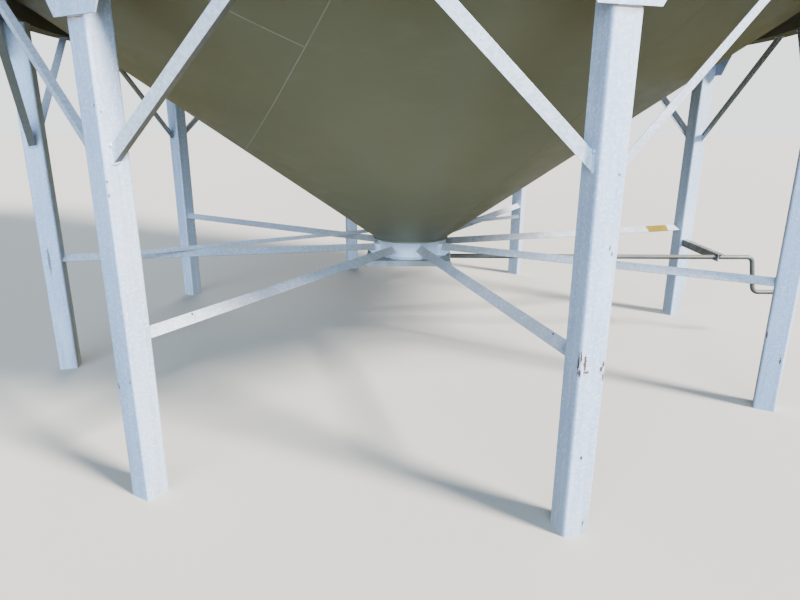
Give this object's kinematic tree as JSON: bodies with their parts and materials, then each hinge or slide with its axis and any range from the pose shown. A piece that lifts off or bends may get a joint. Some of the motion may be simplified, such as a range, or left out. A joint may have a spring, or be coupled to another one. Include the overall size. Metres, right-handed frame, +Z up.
{
  "type": "hopper-bottom grain silo",
  "caption": "Round grain silo on square legs with a conical hopper, knee-braced ring beam, radial ties and a slide gate worked by a long hand crank.",
  "frame": {"origin": "the silo's axis at the level of the feet", "axes": "+Z up; +X along the crank rod, out of the gate's open end; +Y to the left of +X seen from above"},
  "size_m": [4.6634, 4.3668, 8.0485],
  "materials": {
    "pale_paint": "weathered pale blue-grey paint",
    "bin_paint": "matt olive-grey paint",
    "galvanised": "weathered zinc",
    "bare_plate": "bare plate",
    "rod_steel": "dull brown steel"
  },
  "bodies": {
    "silo": {"leg_1": "pale_paint", "leg_2": "pale_paint", "leg_3": "pale_paint", "leg_4": "pale_paint", "leg_5": "pale_paint", "leg_6": "pale_paint", "leg_7": "pale_paint", "leg_8": "pale_paint", "knee_brace_1_left": "galvanised", "knee_brace_1_right": "galvanised", "knee_brace_2_left": "galvanised", "knee_brace_2_right": "galvanised", "knee_brace_3_left": "galvanised", "knee_brace_3_right": "galvanised", "knee_brace_4_left": "galvanised", "knee_brace_4_right": "galvanised", "knee_brace_5_left": "galvanised", "knee_brace_5_right": "galvanised", "knee_brace_6_left": "galvanised", "knee_brace_6_right": "galvanised", "knee_brace_7_left": "galvanised", "knee_brace_7_right": "galvanised", "knee_brace_8_left": "galvanised", "knee_brace_8_right": "galvanised", "tie_1": "galvanised", "tie_2": "galvanised", "tie_3": "galvanised", "tie_4": "galvanised", "tie_5": "galvanised", "tie_6": "galvanised", "tie_7": "galvanised", "tie_8": "galvanised", "ring_beam": "pale_paint", "hopper_cone": "bin_paint", "cone_foot": "bin_paint", "shell_tier_1": "bin_paint", "shell_tier_2": "bin_paint", "shell_tier_3": "bin_paint", "roof": "bin_paint", "roof_lid": "galvanised", "outlet_collar": "pale_paint", "outlet_flange": "pale_paint", "gate_frame": "pale_paint", "rod_bracket": "galvanised", "loose_bar": "galvanised"},
    "gate": {"gate_slide": "bare_plate"},
    "crank": {"crank_rod": "rod_steel"}
  },
  "joints": [
    {"name": "gate_travel", "type": "slide", "parent": "silo", "child": "gate", "axis": [1, 0, 0], "range_m": [0, 0.4572]},
    {"name": "crank_turn", "type": "hinge", "parent": "gate", "child": "crank", "pos_m": [0.27, 0, 0.57], "axis": [1, 0, 0], "range_deg": [0, 6480]}
  ],
  "couplings": [
    {"joint": "gate_travel", "follows": "crank_turn", "m_per_rad": 0.0040425}
  ]
}
